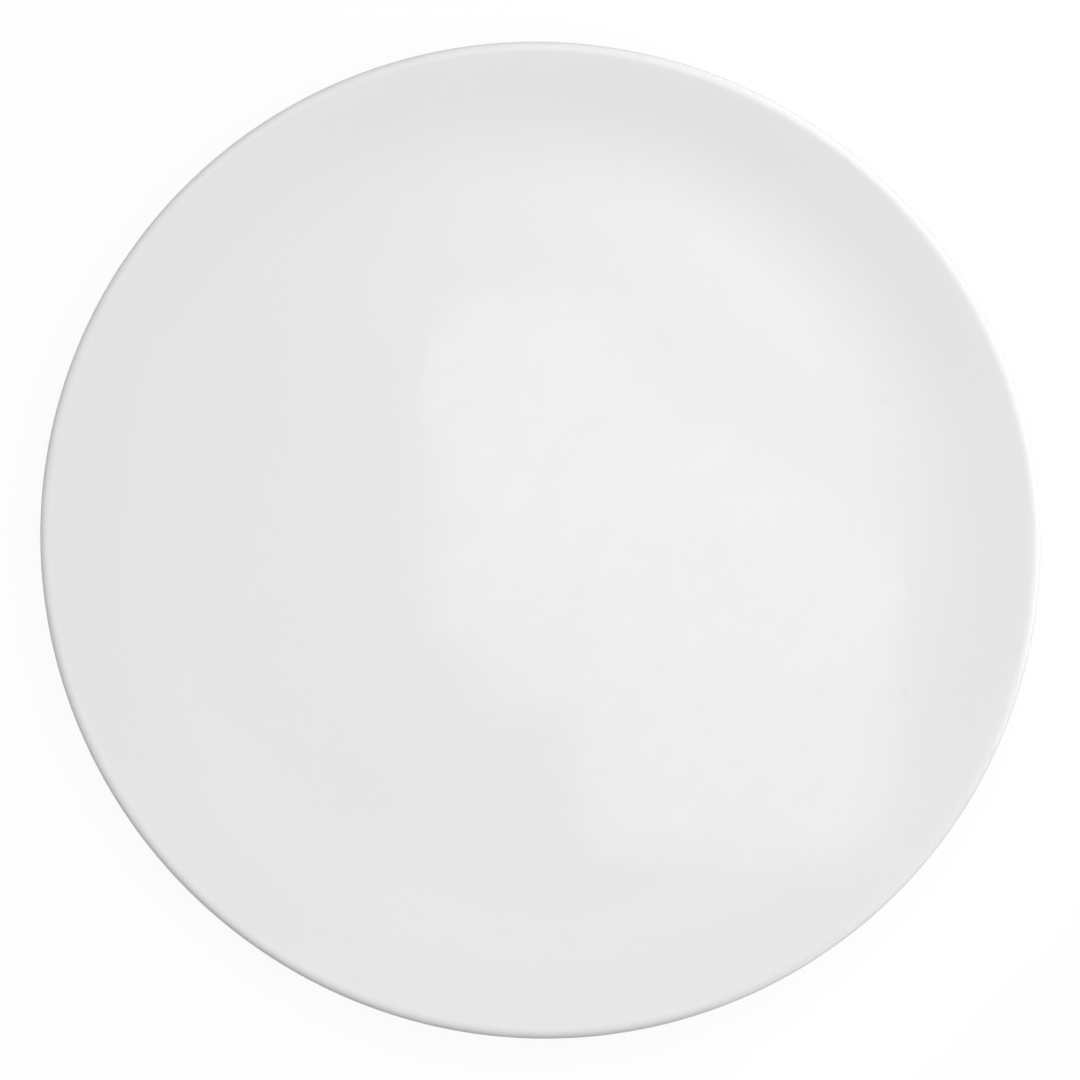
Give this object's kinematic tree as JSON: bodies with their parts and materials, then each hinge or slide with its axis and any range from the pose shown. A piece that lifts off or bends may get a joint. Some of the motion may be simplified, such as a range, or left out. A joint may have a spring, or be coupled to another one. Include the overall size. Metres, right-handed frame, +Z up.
{
  "type": "coupe dinner plate",
  "caption": "Round white porcelain dinner plate without a separate rim: a level floor that bends up into one plain wall with a full-round lip, on a turned foot ring.",
  "frame": {"origin": "on the table, under the middle of the plate", "axes": "+Z up, along the plate's axis of revolution; X and Y are alike"},
  "size_m": [0.27, 0.27, 0.0225],
  "materials": {
    "bare_porcelain": "matte",
    "clear_glaze": "gloss"
  },
  "bodies": {
    "root": {"porcelain_body": "bare_porcelain", "glaze_coat": "clear_glaze", "foot_well_glaze": "clear_glaze"}
  },
  "joints": []
}
